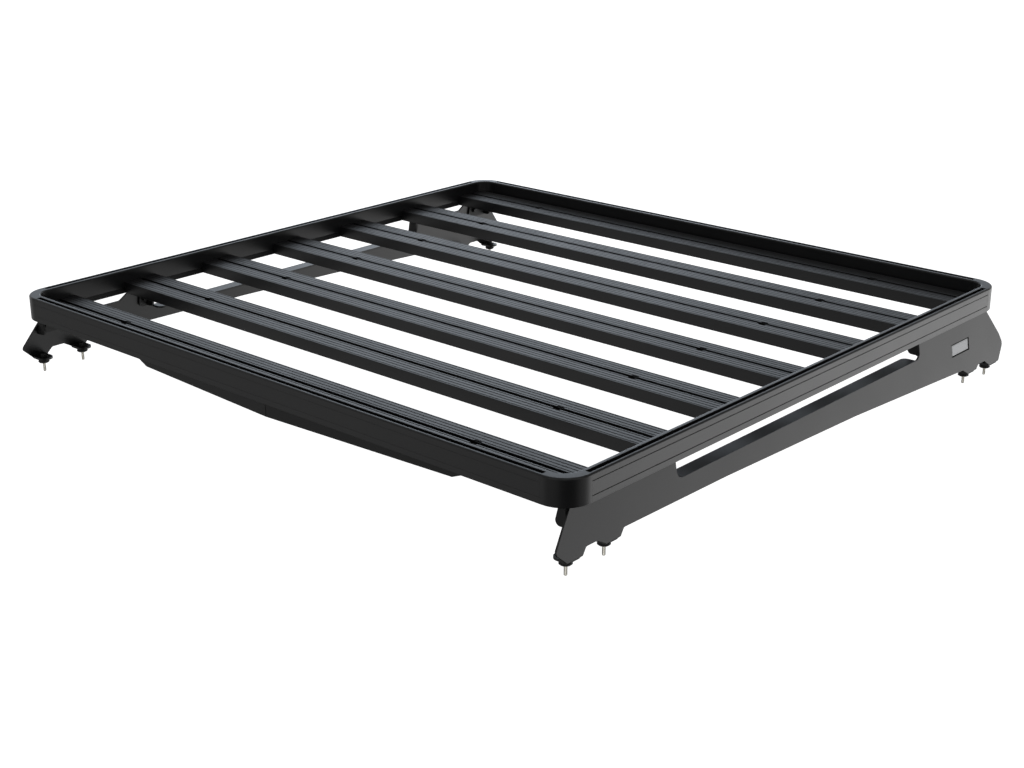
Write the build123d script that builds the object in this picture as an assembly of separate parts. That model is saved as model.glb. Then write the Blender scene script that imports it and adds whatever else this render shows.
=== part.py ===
"""Flat platform roof rack: an extruded tray of slats in a rim, on two bent foot rails.

X runs across the vehicle, Y from its front (-Y) to its rear (+Y), and Z is up.  The origin is
under the middle of the rack's box, level with the tips of the rearmost studs.  Millimetres.
"""
from build123d import *
from math import cos, radians, sin, sqrt, tan
import os

# Tray
TRAY_WIDTH = 1425.0
TRAY_LENGTH = 1358.0
RIM_HEIGHT = 48.0
RIM_WIDTH = 22.0
CORNER_RADIUS = 52.0
CORNER_STUB = 3.0

# Rim extrusion: bolt channels along its top and bottom, two fine grooves in its outer face
RIM_SLOT_OPENING = 6.5
RIM_SLOT_CAVITY = 12.0
RIM_SLOT_DEPTH = 6.0
RIM_LIP = 3.0
RIM_GROOVE_WIDTH = 1.6
RIM_GROOVE_DEPTH = 1.0
RIM_GROOVE_DROP = 12.0
RIM_EDGE = 1.2

# Slats
SLAT_COUNT = 7
SLAT_WIDTH = 81.0
SLAT_END_GAP = 10.5
SLAT_HEIGHT = 24.0
SLAT_EDGE = 1.8
SLAT_SLOT_OPENING = 8.5
SLAT_SLOT_CAVITY = 15.0
SLAT_SLOT_DEPTH = 6.5
SLAT_LIP = 3.0
NOTCH_FROM_RIM = 230.0
NOTCH_LENGTH = 16.0
RIB_COUNT = 5
RIB_PITCH = 6.0
RIB_WIDTH = 2.4
RIB_DEPTH = 0.6

# Foot rails: sheet that leans outwards from under the slat ends down to the feet
SHEET = 4.0
LEAN_DEGREES = 9.5
FRONT_OVERHANG = 11.5
REAR_OVERHANG = 46.0
FRONT_TOP_SETBACK = 44.5
REAR_TOP_SETBACK = 68.5
FRONT_TOE_DROP = 60.0
FRONT_TOE_HEIGHT = 6.0
FRONT_SOLE_SETBACK = 24.0
REAR_HEEL_DROP = 88.0
REAR_HEEL_HEIGHT = 8.0
REAR_HEEL_RISE = 18.0
REAR_HEEL_SETBACK = 10.0
REAR_SOLE_SETBACK = 22.0
FRONT_SOLE_DROP = 88.0
REAR_SOLE_DROPS = (121.5, 127.5)
FRONT_ARCH_DROP = 73.5
MIDDLE_ARCH_DROP = 82.4
REAR_ARCH_DROP = 107.0
REAR_NOTCH_DROP = 110.5
BAND_DROP = 42.0
DIP_DROP = 13.0
RISER_OFFSET = 12.5
RISER_WIDTH = 53.0
DIP_RUN = 18.0
BAND_CORNER_RADIUS = 14.0
SMALL_CORNER_RADIUS = 5.0
SOLE_CORNER_RADIUS = 6.0
TOE_RADIUS = 10.0
HEEL_RADIUS = 12.0
BAND_FLANGE = 28.0
BAND_FLANGE_END_GAP = 14.5
BAND_FLANGE_RADIUS = 12.0

# Feet: an inward tab under each stud, with a rubber pad and a stud that bolts to the roof
STUD_SPACING = 91.0
FRONT_STUD_SETBACK = 37.0
REAR_STUD_SETBACK = 44.5
STUD_INSET = 18.0
STUD_RADIUS = 3.0
STUD_SHANK_RADIUS = 3.2
STUD_SHANK_SIDES = 12
FRONT_STUD_STICKOUT = 18.5
REAR_STUD_STICKOUT = 16.0
STUD_HEAD_ACROSS_FLATS = 10.0
STUD_HEAD_HEIGHT = 6.0
STUD_CLEARANCE = 0.3
TAB_REACH = 37.0
TAB_WIDTH = 30.0
TAB_RADIUS = 13.0
TAB_BEND = 4.0
SOLE_AHEAD = 9.5
SOLE_BEHIND = 16.5
FLANK_AHEAD = 25.0
FLANK_BEHIND = 13.0
PAD_RADIUS = 11.0
PAD_HEIGHT = 9.0
PAD_SIDES = 24

# Brackets between the foot rails and the tray: a shelf, a leg on the sheet and a gusset
BRACKET_SHEET = 4.0
BRACKET_DROP = 37.0
BRACKET_REACH = 45.0
BRACKET_RADIUS = 10.0
SLAT_BRACKET_RUN = 24.0
END_BRACKET_RUN = 60.0
GUSSET_TOP_REACH = 10.5
GUSSET_REACH = 17.5
GUSSET_SLANT_DROP = 27.0
GUSSET_RADIUS = 9.0

# Badge plates, let into the outer face of each foot rail
BADGE_LENGTH = 66.0
BADGE_HEIGHT = 21.0
BADGE_THICKNESS = 1.4
BADGE_RECESS = 2.4
BADGE_MARGIN = 2.5
BADGE_FROM_REAR = 175.0
BADGE_DROP = 58.5

# Wind fairing in two halves that meet in a shallow V under the front of the tray
FAIRING_LEFT = 398.0
FAIRING_RIGHT = 451.0
FAIRING_HEIGHT = 39.5
FAIRING_SHEET = 2.5
FAIRING_NOSE_SETBACK = 29.0
FAIRING_SWEEP_DEGREES = 3.25
FAIRING_FLANGE = 32.0
FAIRING_SEAM = 1.0
FAIRING_END_RUN = 25.0
FAIRING_END_RISE = 10.0

# Places that follow from the sizes
FLOOR_TO_FRAME = REAR_SOLE_DROPS[1] + PAD_HEIGHT + REAR_STUD_STICKOUT
TRAY_TOP = FLOOR_TO_FRAME + RIM_HEIGHT
DECK_TOP = FLOOR_TO_FRAME + SLAT_HEIGHT
FRONT_REACH = TRAY_LENGTH / 2 + FRONT_OVERHANG
REAR_REACH = TRAY_LENGTH / 2 + REAR_OVERHANG
TRAY_Y = (FRONT_REACH - REAR_REACH) / 2
CORNER_LEG = CORNER_RADIUS + CORNER_STUB
SLAT_LENGTH = TRAY_WIDTH - 2 * RIM_WIDTH
LEAN = radians(LEAN_DEGREES)
SLAT_PITCH = (TRAY_LENGTH - 2 * (RIM_WIDTH + SLAT_END_GAP) - SLAT_WIDTH) / (SLAT_COUNT - 1)
SLAT_YS = [(i - (SLAT_COUNT - 1) / 2) * SLAT_PITCH for i in range(SLAT_COUNT)]
INNER_SLAT_Y = SLAT_YS[-2]
RISER_NEAR = INNER_SLAT_Y + RISER_OFFSET - RISER_WIDTH / 2
FRONT_STUDS = (-FRONT_REACH + FRONT_STUD_SETBACK, -FRONT_REACH + FRONT_STUD_SETBACK + STUD_SPACING)
REAR_STUDS = (REAR_REACH - REAR_STUD_SETBACK - STUD_SPACING, REAR_REACH - REAR_STUD_SETBACK)
STUDS = [
    ("front_outer", FRONT_STUDS[0], FRONT_SOLE_DROP, FRONT_STUD_STICKOUT),
    ("front_inner", FRONT_STUDS[1], FRONT_SOLE_DROP, FRONT_STUD_STICKOUT),
    ("rear_inner", REAR_STUDS[0], REAR_SOLE_DROPS[0], REAR_STUD_STICKOUT),
    ("rear_outer", REAR_STUDS[1], REAR_SOLE_DROPS[1], REAR_STUD_STICKOUT),
]
FOOT_PLANE = Plane(
    origin=(SLAT_LENGTH / 2, TRAY_Y, FLOOR_TO_FRAME),
    x_dir=(0, 1, 0),
    z_dir=(cos(LEAN), 0, sin(LEAN)),
)


def bolt_channel(opening, cavity, depth, lip):
    """Section of a bolt channel that opens upwards at y = 0."""
    mouth = Rectangle(opening, lip, align=(Align.CENTER, Align.MAX))
    room = Pos(0, -lip) * Rectangle(cavity, depth, align=(Align.CENTER, Align.MAX))
    return mouth + room


def rim_rail(length):
    """Rim extrusion along X, with its outer face on y = 0 and its top on z = 0."""
    section = Rectangle(RIM_WIDTH, RIM_HEIGHT, align=(Align.MIN, Align.MAX))
    section = chamfer(section.vertices(), RIM_EDGE)
    channel = bolt_channel(RIM_SLOT_OPENING, RIM_SLOT_CAVITY, RIM_SLOT_DEPTH, RIM_LIP)
    section -= Pos(RIM_WIDTH / 2, 0) * channel
    section -= Pos(RIM_WIDTH / 2, -RIM_HEIGHT) * Rot(0, 0, 180) * channel
    groove = Rectangle(RIM_GROOVE_DEPTH, RIM_GROOVE_WIDTH, align=(Align.MIN, Align.CENTER))
    for drop in (RIM_GROOVE_DROP, RIM_HEIGHT - RIM_GROOVE_DROP):
        section -= Pos(0, -drop) * groove
    return extrude(Plane.YZ * section, length / 2, both=True)


def rim_rails():
    """The four straight lengths of the rim, by name."""
    across = rim_rail(TRAY_WIDTH - 2 * CORNER_LEG)
    along = rim_rail(TRAY_LENGTH - 2 * CORNER_LEG)
    half_x, half_y = TRAY_WIDTH / 2, TRAY_LENGTH / 2
    return {
        "front_rim_rail": Pos(0, TRAY_Y - half_y, TRAY_TOP) * across,
        "rear_rim_rail": Pos(0, TRAY_Y + half_y, TRAY_TOP) * Rot(0, 0, 180) * across,
        "right_rim_rail": Pos(half_x, TRAY_Y, TRAY_TOP) * Rot(0, 0, 90) * along,
        "left_rim_rail": Pos(-half_x, TRAY_Y, TRAY_TOP) * Rot(0, 0, -90) * along,
    }


def rim_corners():
    """The four rounded corner castings, by name."""
    outer = RectangleRounded(TRAY_WIDTH, TRAY_LENGTH, CORNER_RADIUS)
    inner = RectangleRounded(SLAT_LENGTH, TRAY_LENGTH - 2 * RIM_WIDTH, CORNER_RADIUS - RIM_WIDTH)
    ring = extrude(outer - inner, RIM_HEIGHT)
    rims = ring.edges().group_by(Axis.Z)
    ring = Pos(0, TRAY_Y, FLOOR_TO_FRAME) * chamfer(rims[0] + rims[-1], RIM_EDGE)
    slat_room = Box(SLAT_LENGTH, SLAT_WIDTH, SLAT_HEIGHT, align=(Align.CENTER, Align.CENTER, Align.MAX))
    for y in (SLAT_YS[0], SLAT_YS[-1]):
        ring -= Pos(0, TRAY_Y + y, DECK_TOP) * slat_room
    block = Box(CORNER_LEG, CORNER_LEG, RIM_HEIGHT, align=(Align.CENTER, Align.CENTER, Align.MIN))
    corners = {}
    for front_or_rear, y_side in (("front", -1), ("rear", 1)):
        for left_or_right, x_side in (("left", -1), ("right", 1)):
            x = x_side * (TRAY_WIDTH - CORNER_LEG) / 2
            y = TRAY_Y + y_side * (TRAY_LENGTH - CORNER_LEG) / 2
            corners[f"{front_or_rear}_{left_or_right}_corner"] = ring & Pos(x, y, FLOOR_TO_FRAME) * block
    return corners


def slat():
    """One slat along X: top on z = 0, a bolt channel along top and bottom, fine ribs on top."""
    section = Rectangle(SLAT_WIDTH, SLAT_HEIGHT, align=(Align.CENTER, Align.MAX))
    section = chamfer(section.vertices(), SLAT_EDGE)
    channel = bolt_channel(SLAT_SLOT_OPENING, SLAT_SLOT_CAVITY, SLAT_SLOT_DEPTH, SLAT_LIP)
    section -= channel
    section -= Pos(0, -SLAT_HEIGHT) * Rot(0, 0, 180) * channel
    groove = Rectangle(RIB_WIDTH, RIB_DEPTH, align=(Align.CENTER, Align.MAX))
    for number in range(1, RIB_COUNT + 1):
        for side in (-1, 1):
            section -= Pos(side * (SLAT_SLOT_OPENING / 2 + number * RIB_PITCH), 0) * groove
    bar = extrude(Plane.YZ * section, SLAT_LENGTH / 2, both=True)
    notch = Box(NOTCH_LENGTH, SLAT_SLOT_CAVITY, SLAT_LIP, align=(Align.CENTER, Align.CENTER, Align.MAX))
    for side in (-1, 1):
        bar -= Pos(side * (SLAT_LENGTH / 2 - NOTCH_FROM_RIM), 0, 0) * notch
    return bar


def along_sheet(drop):
    """Distance down the leaning sheet for a drop below the tray."""
    return drop / cos(LEAN)


def sheet_x(drop):
    """X of the right foot rail's outer face at a drop below the tray."""
    return SLAT_LENGTH / 2 + drop * tan(LEAN)


def foot_outline():
    """Outline of a foot rail in its own plane: Y across, distance down the sheet as -y."""
    riser_far = RISER_NEAR + RISER_WIDTH
    front_riser_end = SLAT_YS[0] + RISER_OFFSET
    rear_riser_end = SLAT_YS[-1] - 2 * RISER_OFFSET
    front_top = -FRONT_REACH + FRONT_TOP_SETBACK
    rear_top = REAR_REACH - REAR_TOP_SETBACK
    s1, s2 = FRONT_STUDS
    s3, s4 = REAR_STUDS
    sole3, sole4 = REAR_SOLE_DROPS
    arch_start = (s2 + SOLE_BEHIND + FLANK_BEHIND, FRONT_ARCH_DROP)
    arch_end = (s3 - SOLE_AHEAD - FLANK_AHEAD, REAR_ARCH_DROP)
    front_foot = [
        (front_top, 0, 0),
        (-FRONT_REACH, FRONT_TOE_DROP, TOE_RADIUS),
        (-FRONT_REACH, FRONT_TOE_DROP + FRONT_TOE_HEIGHT, TOE_RADIUS / 2),
        (-FRONT_REACH + FRONT_SOLE_SETBACK, FRONT_SOLE_DROP, SOLE_CORNER_RADIUS),
        (s1 + SOLE_BEHIND, FRONT_SOLE_DROP, SOLE_CORNER_RADIUS),
        (s1 + SOLE_BEHIND + FLANK_BEHIND, FRONT_ARCH_DROP, SOLE_CORNER_RADIUS),
        (s2 - SOLE_AHEAD - FLANK_AHEAD, FRONT_ARCH_DROP, SOLE_CORNER_RADIUS),
        (s2 - SOLE_AHEAD, FRONT_SOLE_DROP, SOLE_CORNER_RADIUS),
        (s2 + SOLE_BEHIND, FRONT_SOLE_DROP, SOLE_CORNER_RADIUS),
        (*arch_start, SOLE_CORNER_RADIUS),
    ]
    rear_foot = [
        (*arch_end, SOLE_CORNER_RADIUS),
        (s3 - SOLE_AHEAD, sole3, SOLE_CORNER_RADIUS),
        (s3 + SOLE_BEHIND, sole3, SOLE_CORNER_RADIUS),
        (s3 + SOLE_BEHIND + FLANK_BEHIND, REAR_NOTCH_DROP, SOLE_CORNER_RADIUS),
        (s4 - SOLE_AHEAD - FLANK_AHEAD, REAR_NOTCH_DROP, SOLE_CORNER_RADIUS),
        (s4 - SOLE_AHEAD, sole4, SOLE_CORNER_RADIUS),
        (REAR_REACH - REAR_SOLE_SETBACK, sole4, SOLE_CORNER_RADIUS),
        (REAR_REACH, REAR_HEEL_DROP + REAR_HEEL_HEIGHT, HEEL_RADIUS),
        (REAR_REACH, REAR_HEEL_DROP, HEEL_RADIUS),
        (REAR_REACH - REAR_HEEL_SETBACK, REAR_HEEL_DROP - REAR_HEEL_RISE, HEEL_RADIUS),
        (rear_top, 0, 0),
    ]
    top_edge = [
        (rear_riser_end, 0, SMALL_CORNER_RADIUS),
        (rear_riser_end - DIP_RUN, DIP_DROP, SMALL_CORNER_RADIUS),
        (riser_far + DIP_RUN, DIP_DROP, SMALL_CORNER_RADIUS),
        (riser_far, 0, SMALL_CORNER_RADIUS),
        (RISER_NEAR, 0, SMALL_CORNER_RADIUS),
        (RISER_NEAR, BAND_DROP, BAND_CORNER_RADIUS),
        (-RISER_NEAR, BAND_DROP, BAND_CORNER_RADIUS),
        (-RISER_NEAR, 0, SMALL_CORNER_RADIUS),
        (-riser_far, 0, SMALL_CORNER_RADIUS),
        (-riser_far - DIP_RUN, DIP_DROP, SMALL_CORNER_RADIUS),
        (front_riser_end + DIP_RUN, DIP_DROP, SMALL_CORNER_RADIUS),
        (front_riser_end, 0, SMALL_CORNER_RADIUS),
    ]
    front_points = [(y, -along_sheet(drop)) for y, drop, _ in front_foot]
    back_points = [(y, -along_sheet(drop)) for y, drop, _ in rear_foot + top_edge]
    middle = (0, -along_sheet(MIDDLE_ARCH_DROP))
    arch = ThreePointArc(front_points[-1], middle, back_points[0])
    closing = Polyline(*back_points, front_points[0])
    outline = make_face(Polyline(*front_points) + arch + closing)
    for y, drop, radius in front_foot + rear_foot + top_edge:
        if radius:
            corner = outline.vertices().sort_by_distance((y, -along_sheet(drop), 0))[0]
            outline = fillet(corner, radius)
    return outline


def foot_tab(y, drop):
    """Inward tab of a foot, with the stud's clearance hole, for the right-hand side."""
    x = sheet_x(drop) - SHEET / 2
    reach = TAB_REACH - SHEET / 2
    plate = Pos(-reach / 2, 0) * Rectangle(reach, TAB_WIDTH)
    inner_corners = plate.vertices().sort_by(Axis.X)[:2]
    plate = fillet(inner_corners, TAB_RADIUS)
    plate -= Pos(SHEET / 2 - STUD_INSET, 0) * Circle(STUD_SHANK_RADIUS + STUD_CLEARANCE)
    return Pos(x, TRAY_Y + y, FLOOR_TO_FRAME - drop) * extrude(plate, SHEET)


def tab_bend(y, drop):
    """Wedge that takes the corner off the bend between the right sheet and a foot tab."""
    across = TAB_BEND * sqrt(2)
    wedge = Rot(0, 45, 0) * Box(across, 2 * TAB_WIDTH, across)
    return Pos(sheet_x(drop), TRAY_Y + y, FLOOR_TO_FRAME - drop) * wedge


def band_flange():
    """Inward stiffening flange along the top of a foot rail's low middle band."""
    length = 2 * (RISER_NEAR - BAND_FLANGE_END_GAP)
    reach = BAND_FLANGE - SHEET / 2
    plate = Pos(-reach / 2, 0) * Rectangle(reach, length)
    plate = fillet(plate.vertices().sort_by(Axis.X)[:2], BAND_FLANGE_RADIUS)
    x = sheet_x(BAND_DROP) - SHEET / 2
    return Pos(x, TRAY_Y, FLOOR_TO_FRAME - BAND_DROP) * extrude(plate, -SHEET)


def badge_place():
    """Plane of a badge, on the outer face of the right foot rail."""
    return FOOT_PLANE * Pos(REAR_REACH - BADGE_FROM_REAR, -along_sheet(BADGE_DROP), 0)


def foot_rail():
    """The right foot rail: leaning sheet, four stud tabs and the flange of its middle band."""
    rail = extrude(FOOT_PLANE * foot_outline(), -SHEET)
    rail += band_flange()
    for _, y, drop, _ in STUDS:
        rail += foot_tab(y, drop)
        rail -= tab_bend(y, drop)
    recess = Rectangle(BADGE_LENGTH + 2 * BADGE_MARGIN, BADGE_HEIGHT + 2 * BADGE_MARGIN)
    return rail - extrude(badge_place() * recess, -BADGE_RECESS)


def badge():
    """Plain plate in the recess of the right foot rail."""
    seat = badge_place() * Pos(0, 0, -BADGE_RECESS)
    return extrude(seat * Rectangle(BADGE_LENGTH, BADGE_HEIGHT), BADGE_THICKNESS)


def bracket(y, run):
    """Bracket between the right foot rail and the tray, from its gusset at y along a signed run."""
    length = abs(run)
    middle = y + run / 2
    depth = along_sheet(BRACKET_DROP)
    leg = Pos(middle, -depth / 2) * Rectangle(length, depth)
    far_corner = leg.vertices().sort_by_distance((y + run, -depth, 0))[0]
    leg = fillet(far_corner, BRACKET_RADIUS)
    upright = extrude(FOOT_PLANE * Pos(0, 0, -SHEET) * leg, -BRACKET_SHEET)
    x = SLAT_LENGTH / 2 - SHEET / cos(LEAN)
    shelf = Box(BRACKET_REACH, length, BRACKET_SHEET, align=(Align.MAX, Align.CENTER, Align.MAX))
    cheek = Polyline(
        (x, 0),
        (x + BRACKET_DROP * tan(LEAN), -BRACKET_DROP),
        (x - GUSSET_REACH, -BRACKET_DROP),
        (x - GUSSET_REACH, -GUSSET_SLANT_DROP),
        (x - GUSSET_TOP_REACH, 0),
        (x, 0),
    )
    cheek = make_face(cheek)
    inner_corner = cheek.vertices().sort_by_distance((x - GUSSET_REACH, -BRACKET_DROP, 0))[0]
    cheek = fillet(inner_corner, GUSSET_RADIUS)
    inwards = 1 if run > 0 else -1
    cheek_plane = Plane(origin=(0, TRAY_Y + y, FLOOR_TO_FRAME), x_dir=(1, 0, 0), z_dir=(0, -1, 0))
    gusset = extrude(cheek_plane * cheek, -inwards * BRACKET_SHEET)
    return upright + Pos(x, TRAY_Y + middle, FLOOR_TO_FRAME) * shelf + gusset


def pad():
    """Rubber pad under a foot tab, with its top on z = 0."""
    section = RegularPolygon(PAD_RADIUS, PAD_SIDES)
    section -= RegularPolygon(STUD_SHANK_RADIUS + STUD_CLEARANCE, STUD_SHANK_SIDES, major_radius=False)
    return extrude(section, -PAD_HEIGHT)


def stud(stickout):
    """Bolt through a foot tab and its pad, with the underside of its head on z = SHEET."""
    down = (Align.CENTER, Align.CENTER, Align.MAX)
    shank_section = Pos(0, 0, SHEET) * RegularPolygon(STUD_SHANK_RADIUS, STUD_SHANK_SIDES)
    shank = extrude(shank_section, -SHEET - PAD_HEIGHT)
    free_end = Pos(0, 0, -PAD_HEIGHT) * Cylinder(STUD_RADIUS, stickout, align=down)
    hexagon = RegularPolygon(STUD_HEAD_ACROSS_FLATS / 2, 6, major_radius=False)
    head = Pos(0, 0, SHEET) * extrude(hexagon, STUD_HEAD_HEIGHT)
    return shank + free_end + head


def fairing_half(reach):
    """Right half of the wind fairing: a swept-back sheet with a top flange under the first slat."""
    sweep = radians(FAIRING_SWEEP_DEGREES)
    length = reach / cos(sweep)
    nose_y = TRAY_Y - TRAY_LENGTH / 2 + FAIRING_NOSE_SETBACK
    face_plane = Plane(
        origin=(0, nose_y, FLOOR_TO_FRAME),
        x_dir=(cos(sweep), sin(sweep), 0),
        z_dir=(sin(sweep), -cos(sweep), 0),
    )
    side = Polyline(
        (0, 0),
        (length, 0),
        (length, FAIRING_END_RISE - FAIRING_HEIGHT),
        (length - FAIRING_END_RUN, -FAIRING_HEIGHT),
        (0, -FAIRING_HEIGHT),
        (0, 0),
    )
    sheet = extrude(face_plane * make_face(side), -FAIRING_SHEET)
    flange = Box(length, FAIRING_SHEET, FAIRING_FLANGE, align=(Align.MIN, Align.MAX, Align.MAX))
    half = sheet + face_plane * flange
    room = Box(2 * reach, TRAY_LENGTH, TRAY_TOP, align=(Align.MIN, Align.CENTER, Align.MIN))
    return half & Pos(FAIRING_SEAM / 2, nose_y, 0) * room


def pieces():
    """Every piece of the rack in its place, by name."""
    found = {**rim_rails(), **rim_corners()}
    bar = slat()
    for number, y in enumerate(SLAT_YS, start=1):
        found[f"slat_{number}"] = Pos(0, TRAY_Y + y, DECK_TOP) * bar
    rim_inside = TRAY_LENGTH / 2 - RIM_WIDTH
    brackets = {
        "front_end": (-rim_inside, END_BRACKET_RUN),
        "front_slat": (-RISER_NEAR, -SLAT_BRACKET_RUN),
        "rear_slat": (RISER_NEAR, SLAT_BRACKET_RUN),
        "rear_end": (rim_inside, -END_BRACKET_RUN),
    }
    right_hand = {"foot_rail": foot_rail()}
    for name, (y, run) in brackets.items():
        right_hand[f"{name}_bracket"] = bracket(y, run)
    rubber = pad()
    for name, y, drop, stickout in STUDS:
        place = Pos(sheet_x(drop) - STUD_INSET, TRAY_Y + y, FLOOR_TO_FRAME - drop)
        right_hand[f"{name}_pad"] = place * rubber
        right_hand[f"{name}_stud"] = place * stud(stickout)
    for name, shape in right_hand.items():
        found[f"right_{name}"] = shape
        found[f"left_{name}"] = mirror(shape, about=Plane.YZ)
    found["right_fairing"] = fairing_half(FAIRING_RIGHT)
    found["left_fairing"] = mirror(fairing_half(FAIRING_LEFT), about=Plane.YZ)
    right_badge = badge()
    left_badge = mirror(right_badge, about=Plane.YZ)
    found["badge_plates"] = Compound([*right_badge.solids(), *left_badge.solids()])
    return found


os.makedirs("parts", exist_ok=True)
for node, shape in pieces().items():
    export_step(shape, f"parts/{node}.step")
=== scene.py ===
"""Dressed model of a flat platform roof rack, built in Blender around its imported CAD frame.

X runs across the vehicle, Y from its front (-Y) to its rear (+Y), and Z is up.  Sizes in the
classes are millimetres, as on a workshop drawing; every mesh is made in metres.
"""
from __future__ import annotations

import logging
import math
from dataclasses import dataclass
from enum import Enum
from typing import Any, Callable, Iterable, Sequence

import bmesh
import bpy
from mathutils import Matrix, Vector


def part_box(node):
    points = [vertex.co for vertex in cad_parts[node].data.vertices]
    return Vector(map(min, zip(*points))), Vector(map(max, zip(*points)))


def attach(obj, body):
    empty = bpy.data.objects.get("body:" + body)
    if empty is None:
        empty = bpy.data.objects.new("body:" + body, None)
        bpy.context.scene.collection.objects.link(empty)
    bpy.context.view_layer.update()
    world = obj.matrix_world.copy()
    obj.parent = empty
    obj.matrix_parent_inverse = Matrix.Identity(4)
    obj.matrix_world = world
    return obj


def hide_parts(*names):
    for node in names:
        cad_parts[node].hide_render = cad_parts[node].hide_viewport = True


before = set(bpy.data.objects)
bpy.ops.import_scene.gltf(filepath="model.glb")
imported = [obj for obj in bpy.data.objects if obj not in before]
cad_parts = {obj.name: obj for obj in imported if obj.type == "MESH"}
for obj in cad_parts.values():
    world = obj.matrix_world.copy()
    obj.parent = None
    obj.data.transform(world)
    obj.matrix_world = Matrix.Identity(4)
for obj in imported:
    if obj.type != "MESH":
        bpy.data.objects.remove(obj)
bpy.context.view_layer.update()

LOG = logging.getLogger("roof_rack")
BODY = "root"
MM = 0.001
WELD = 0.002 * MM
FLAT_WITHIN = math.radians(0.6)
SMOOTH_BELOW = math.radians(35.0)
BEVEL_ABOVE = math.radians(38.0)
BEVEL_SEGMENTS = 3
SLANT_WITHIN = 0.02
ALONG_Y = 0.99
RAIL_LEAN = math.radians(9.5)
UP = (0, 0, 1)

Point2 = tuple[float, float]
Corner = tuple[float, float, float]
Colour = tuple[float, float, float]
Mesh = bmesh.types.BMesh


class Named(Enum):
    """A choice that the names of the CAD nodes spell out."""

    @property
    def word(self) -> str:
        """The choice as the nodes spell it."""
        return self.name.lower()


class Side(Named):
    """Left or right half of the rack, by the sign of X."""

    LEFT = -1
    RIGHT = 1


class End(Named):
    """Front or rear end of the rack, by the sign of Y."""

    FRONT = -1
    REAR = 1


class Signal:
    """A socket of a node tree that takes part in Python expressions."""

    def __init__(self, board: NodeBoard, socket: bpy.types.NodeSocket) -> None:
        """Keep an output socket and the board whose nodes the expressions add."""
        self.board = board
        self.socket = socket

    def _math(self, operation: str, first: Any, second: Any) -> Signal:
        """Result of one Math node on two operands, each a number or a Signal."""
        return self.board.add("ShaderNodeMath", {"operation": operation}, {0: first, 1: second})

    def __add__(self, other: Any) -> Signal:
        """Sum."""
        return self._math("ADD", self, other)

    def __radd__(self, other: Any) -> Signal:
        """Sum, with the number on the left."""
        return self._math("ADD", other, self)

    def __sub__(self, other: Any) -> Signal:
        """Difference."""
        return self._math("SUBTRACT", self, other)

    def __rsub__(self, other: Any) -> Signal:
        """Difference, with the number on the left."""
        return self._math("SUBTRACT", other, self)

    def __mul__(self, other: Any) -> Signal:
        """Product."""
        return self._math("MULTIPLY", self, other)

    def __rmul__(self, other: Any) -> Signal:
        """Product, with the number on the left."""
        return self._math("MULTIPLY", other, self)

    def __pow__(self, other: Any) -> Signal:
        """Power."""
        return self._math("POWER", self, other)

    def __rpow__(self, other: Any) -> Signal:
        """Power, with the number as its base."""
        return self._math("POWER", other, self)

    def clamped(self) -> Signal:
        """The value held between 0 and 1."""
        return self.board.add("ShaderNodeClamp", {}, {"Value": self})


class NodeBoard:
    """A node tree that is wired up from Python expressions."""

    def __init__(self, owner: bpy.types.Material | bpy.types.World) -> None:
        """Start on the emptied tree of a material or a world.

        Args:
            owner: the material or the world.
        """
        owner.use_nodes = True
        self.owner = owner
        self.tree = owner.node_tree
        self.tree.nodes.clear()

    def add(
        self,
        kind: str,
        settings: dict[str, Any],
        inputs: dict[Any, Any],
        output: int | str = 0,
    ) -> Signal:
        """Add any node: its settings first, then the values and links of its sockets.

        Args:
            kind: the node's type.
            settings: attributes of the node.
            inputs: socket name or number to a value or a Signal.
            output: name or number of the output socket to return.

        Returns:
            The chosen output.
        """
        node = self.tree.nodes.new(kind)
        for name, value in settings.items():
            setattr(node, name, value)
        for key, value in inputs.items():
            if isinstance(value, Signal):
                self.tree.links.new(value.socket, node.inputs[key])
            else:
                node.inputs[key].default_value = value
        return Signal(self, node.outputs[output])

    def place(self) -> Signal:
        """The point on the surface, in metres in the rack's own frame."""
        return self.add("ShaderNodeTexCoord", {}, {}, "Object")

    def stretched(self, point: Signal, scale: Sequence[float]) -> Signal:
        """A point scaled along each axis."""
        return self.add("ShaderNodeMapping", {}, {"Vector": point, "Scale": tuple(scale)})

    def noise(self, point: Signal, scale: float, detail: float) -> Signal:
        """Noise between 0 and 1, by its lumps in a metre and its octaves of finer noise."""
        inputs = {"Vector": point, "Scale": scale, "Detail": detail}
        return self.add("ShaderNodeTexNoise", {"noise_dimensions": "3D"}, inputs, "Fac")

    def blend(self, share: Signal, low: Colour, high: Colour) -> Signal:
        """A colour between two others, the low one where the share is 0."""
        inputs = {0: share, 6: (*low, 1.0), 7: (*high, 1.0)}
        return self.add("ShaderNodeMix", {"data_type": "RGBA", "blend_type": "MIX"}, inputs, 2)

    def bump(self, height: Signal, strength: float, depth_mm: float) -> Signal:
        """A normal roughened by a height from 0 to 1 that stands for a depth."""
        inputs = {"Height": height, "Strength": strength, "Distance": depth_mm * MM}
        return self.add("ShaderNodeBump", {}, inputs, "Normal")

    def show(self, kind: str, shader: Signal) -> None:
        """Link a shader to a new output node of the tree."""
        node = self.tree.nodes.new(kind)
        self.tree.links.new(shader.socket, node.inputs["Surface"])

    def surface(self, sockets: dict[str, Any]) -> bpy.types.Material:
        """The board's material, finished with one Principled shader and its sockets."""
        self.show("ShaderNodeOutputMaterial", self.add("ShaderNodeBsdfPrincipled", {}, sockets))
        return self.owner


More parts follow.
